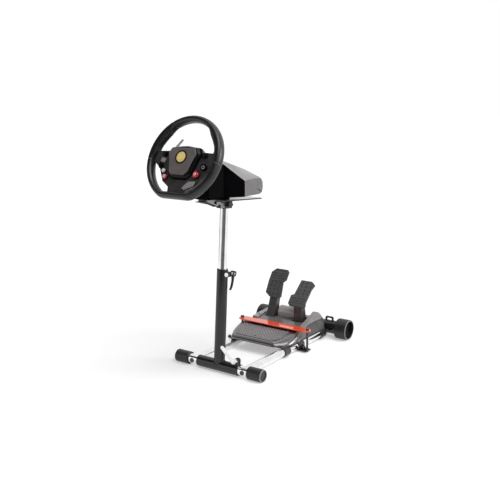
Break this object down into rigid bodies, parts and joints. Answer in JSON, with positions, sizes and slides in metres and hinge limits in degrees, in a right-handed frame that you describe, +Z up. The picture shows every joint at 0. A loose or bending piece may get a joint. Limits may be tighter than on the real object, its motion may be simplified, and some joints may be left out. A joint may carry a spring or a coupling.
{
  "type": "racing wheel stand",
  "caption": "Folding floor stand of chrome and black tube with a height-adjustable leaning post, carrying a racing wheel on a tilting plate and a strapped-down pedal set.",
  "frame": {"origin": "middle of the bounding box, on the floor", "axes": "+X to the player's right, +Y away from the player towards the pedals, +Z up"},
  "size_m": [0.41, 0.8247, 0.8631],
  "materials": {
    "chrome_tube": "bright chrome plate",
    "black_tube": "satin black paint",
    "cap_rubber": "matt black rubber",
    "strap_black": "satin black paint",
    "bar_red": "gloss red-orange paint",
    "steel_fastener": "blackened steel",
    "lever_chrome": "bright chrome plate",
    "bracket_steel": "grey zinc-plated sheet",
    "plate_black": "semi-gloss black paint",
    "plastic_black": "matt black plastic",
    "plastic_gloss": "gloss black plastic",
    "plastic_grey": "fine-grained grey plastic",
    "plastic_mid": "satin dark grey plastic",
    "rim_rubber": "smooth and pebbled black rubber",
    "paddle_alu": "brushed aluminium",
    "disc_yellow": "plain yellow lacquer",
    "knob_red": "red plastic",
    "pad_metal": "satin dark grey paint"
  },
  "bodies": {
    "frame": {"front_tube": "chrome_tube", "front_cap_left": "cap_rubber", "front_cap_right": "cap_rubber", "rail_left": "chrome_tube", "rail_right": "chrome_tube", "rear_tube": "black_tube", "rear_cap_left": "cap_rubber", "rear_cap_right": "cap_rubber", "rear_loops": "plastic_black", "rail_clips_left": "strap_black", "rail_clips_right": "strap_black", "clamp_bracket_left": "strap_black", "clamp_bracket_right": "strap_black", "hold_down_rods": "steel_fastener", "hold_down_bar": "bar_red", "pedal_base": "plastic_mid", "pedal_tread": "plastic_mid", "pedal_cheeks": "plastic_grey", "pedal_barrel": "plastic_grey", "pedal_pins": "steel_fastener"},
    "brake_pedal": {"brake_arm": "pad_metal", "brake_pad": "pad_metal"},
    "throttle_pedal": {"throttle_arm": "pad_metal", "throttle_pad": "pad_metal"},
    "post": {"post_tee": "black_tube", "fold_ears": "black_tube", "fold_skewer": "steel_fastener", "post_bush": "plastic_black", "height_ears": "black_tube", "height_bolt": "lever_chrome"},
    "fold_lever": {"fold_lever": "lever_chrome"},
    "height_lever": {"height_lever": "plastic_black"},
    "mast": {"mast_tube": "chrome_tube", "mast_head": "bracket_steel", "tilt_bolt": "steel_fastener"},
    "tilt_knob": {"tilt_knob": "plastic_black"},
    "head": {"tilt_bracket": "bracket_steel", "wheel_plate": "plate_black", "plate_tongue": "plastic_black", "base_housing": "plastic_gloss", "base_tail": "plastic_grey", "base_hood": "plastic_grey", "column": "plastic_black"},
    "wheel": {"wheel_rim": "rim_rubber", "wheel_spokes": "plastic_mid", "hub_pad": "plastic_mid", "badge_ring": "plastic_gloss", "badge_disc": "disc_yellow", "hub_back": "plastic_grey", "steering_shaft": "steel_fastener", "paddle_left": "paddle_alu", "paddle_right": "paddle_alu", "rocker_switches": "plastic_gloss", "round_buttons": "plastic_gloss", "red_controls": "knob_red", "silver_button": "paddle_alu"}
  },
  "joints": [
    {"name": "post_fold", "type": "hinge", "parent": "frame", "child": "post", "pos_m": [0, -0.17965, 0.0214], "axis": [-1, 0, 0], "range_deg": [-15, 65]},
    {"name": "mast_height", "type": "slide", "parent": "post", "child": "mast", "axis": [0, 0.0663, 0.9978], "range_m": [-0.09, 0.1]},
    {"name": "head_tilt", "type": "hinge", "parent": "mast", "child": "head", "pos_m": [0, -0.15304, 0.57285], "axis": [-1, 0, 0], "range_deg": [-8, 12]},
    {"name": "steering", "type": "hinge", "parent": "head", "child": "wheel", "pos_m": [0, -0.34765, 0.735], "axis": [0, -0.9063, 0.4226], "range_deg": [-135, 135], "stiffness_Nm_per_rad": 0.8},
    {"name": "fold_clamp", "type": "hinge", "parent": "post", "child": "fold_lever", "pos_m": [0.076, -0.19452, 0.05396], "axis": [0.6561, 0.05, 0.7531], "range_deg": [0, 80]},
    {"name": "height_clamp", "type": "hinge", "parent": "post", "child": "height_lever", "pos_m": [0.026, -0.13263, 0.33698], "axis": [-1, 0, 0], "range_deg": [-80, 0]},
    {"name": "tilt_clamp", "type": "hinge", "parent": "mast", "child": "tilt_knob", "pos_m": [0.027, -0.15304, 0.57285], "axis": [1, 0, 0], "continuous": true},
    {"name": "brake_press", "type": "hinge", "parent": "frame", "child": "brake_pedal", "pos_m": [-0.063, 0.24235, 0.08], "axis": [-1, 0, 0], "range_deg": [0, 14], "stiffness_Nm_per_rad": 30, "springref_deg": -6.88},
    {"name": "throttle_press", "type": "hinge", "parent": "frame", "child": "throttle_pedal", "pos_m": [0.063, 0.24235, 0.08], "axis": [-1, 0, 0], "range_deg": [0, 16], "stiffness_Nm_per_rad": 14, "springref_deg": -8.59}
  ]
}
